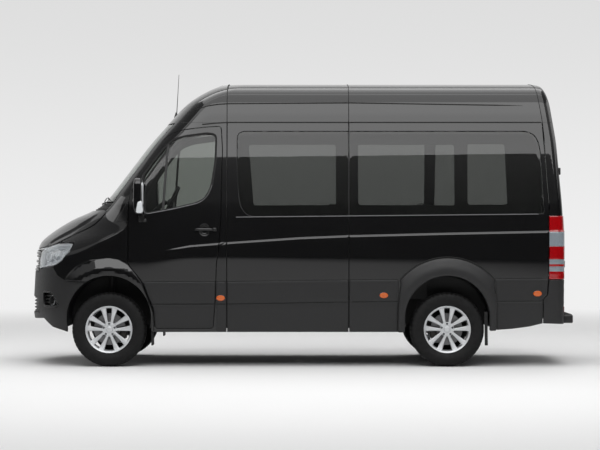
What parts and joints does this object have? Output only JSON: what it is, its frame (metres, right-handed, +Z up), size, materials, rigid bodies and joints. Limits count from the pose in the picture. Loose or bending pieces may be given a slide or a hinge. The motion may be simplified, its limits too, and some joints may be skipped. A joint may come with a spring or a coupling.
{
  "type": "minibus",
  "caption": "High-roof van-bodied minibus with hinged cab and rear doors, lifting hood, steering front wheels and see-through side windows.",
  "frame": {"origin": "on the ground, at the middle of the box round the whole minibus", "axes": "+Z up, -X towards the nose, -Y towards the left side"},
  "size_m": [5.3098, 2.38, 2.874],
  "materials": {
    "body_paint": "gloss",
    "cladding": "satin moulded",
    "tinted_glass": "gloss",
    "clear_glass": "gloss",
    "headlamp_lens": "gloss",
    "red_lens": "gloss",
    "tyre_rubber": "matte",
    "alloy": "silver lacquer",
    "chassis_steel": "satin",
    "cast_steel": "as cast",
    "galvanised": "dull",
    "black_plastic": "grained",
    "seat_cloth": "woven"
  },
  "bodies": {
    "body": {"antenna": "black_plastic", "cab_frame": "body_paint", "chassis_frame": "chassis_steel", "dashboard": "black_plastic", "engine": "cast_steel", "exhaust": "galvanised", "fenders": "body_paint", "floor_pan": "chassis_steel", "front_bumper": "body_paint", "front_suspension": "chassis_steel", "fuel_tank": "black_plastic", "grille": "black_plastic", "headlamps": "headlamp_lens", "mudflaps": "black_plastic", "rear_axle": "chassis_steel", "rear_bumper": "cladding", "roof": "body_paint", "seat_cushions": "seat_cloth", "seat_frames": "chassis_steel", "side_glass": "tinted_glass", "side_panels": "body_paint", "sliding_door": "body_paint", "steering_wheel": "black_plastic", "tail_lamps": "red_lens", "wheel_houses": "black_plastic", "windscreen": "clear_glass", "wipers": "black_plastic"},
    "door_left": {"door_left": "body_paint", "door_glass_left": "tinted_glass", "mirror_left": "black_plastic"},
    "rear_door_left": {"rear_door_left": "body_paint", "rear_glass_left": "tinted_glass"},
    "knuckle_left": {"knuckle_left": "cast_steel"},
    "wheel_front_left": {"tyre_front_left": "tyre_rubber", "rim_front_left": "alloy"},
    "wheel_rear_left": {"tyre_rear_left": "tyre_rubber", "rim_rear_left": "alloy"},
    "door_right": {"door_right": "body_paint", "door_glass_right": "tinted_glass", "mirror_right": "black_plastic"},
    "rear_door_right": {"rear_door_right": "body_paint", "rear_glass_right": "tinted_glass"},
    "knuckle_right": {"knuckle_right": "cast_steel"},
    "wheel_front_right": {"tyre_front_right": "tyre_rubber", "rim_front_right": "alloy"},
    "wheel_rear_right": {"tyre_rear_right": "tyre_rubber", "rim_rear_right": "alloy"},
    "hood": {"hood": "body_paint"}
  },
  "joints": [
    {"name": "steer_left", "type": "hinge", "parent": "body", "child": "knuckle_left", "pos_m": [-1.822, -0.79, 0.357], "axis": [0, 0, 1], "range_deg": [-35, 35]},
    {"name": "spin_front_left", "type": "hinge", "parent": "knuckle_left", "child": "wheel_front_left", "pos_m": [-1.822, -0.85, 0.357], "axis": [0, 1, 0], "continuous": true},
    {"name": "spin_rear_left", "type": "hinge", "parent": "body", "child": "wheel_rear_left", "pos_m": [1.428, -0.85, 0.357], "axis": [0, 1, 0], "continuous": true},
    {"name": "door_left_swing", "type": "hinge", "parent": "body", "child": "door_left", "pos_m": [-1.634, -0.994, 1.3], "axis": [0, 0, -1], "range_deg": [0, 70]},
    {"name": "rear_door_left_swing", "type": "hinge", "parent": "body", "child": "rear_door_left", "pos_m": [2.567, -0.8885, 1.5], "axis": [0, 0, -1], "range_deg": [0, 180]},
    {"name": "steer_right", "type": "hinge", "parent": "body", "child": "knuckle_right", "pos_m": [-1.822, 0.79, 0.357], "axis": [0, 0, 1], "range_deg": [-35, 35]},
    {"name": "spin_front_right", "type": "hinge", "parent": "knuckle_right", "child": "wheel_front_right", "pos_m": [-1.822, 0.85, 0.357], "axis": [0, 1, 0], "continuous": true},
    {"name": "spin_rear_right", "type": "hinge", "parent": "body", "child": "wheel_rear_right", "pos_m": [1.428, 0.85, 0.357], "axis": [0, 1, 0], "continuous": true},
    {"name": "door_right_swing", "type": "hinge", "parent": "body", "child": "door_right", "pos_m": [-1.634, 0.994, 1.3], "axis": [0, 0, 1], "range_deg": [0, 70]},
    {"name": "rear_door_right_swing", "type": "hinge", "parent": "body", "child": "rear_door_right", "pos_m": [2.567, 0.8885, 1.5], "axis": [0, 0, 1], "range_deg": [0, 180]},
    {"name": "hood_lift", "type": "hinge", "parent": "body", "child": "hood", "pos_m": [-1.855, 0, 1.53], "axis": [0, 1, 0], "range_deg": [0, 50]}
  ],
  "couplings": [
    {"joint": "steer_right", "follows": "steer_left", "ratio": 1}
  ]
}
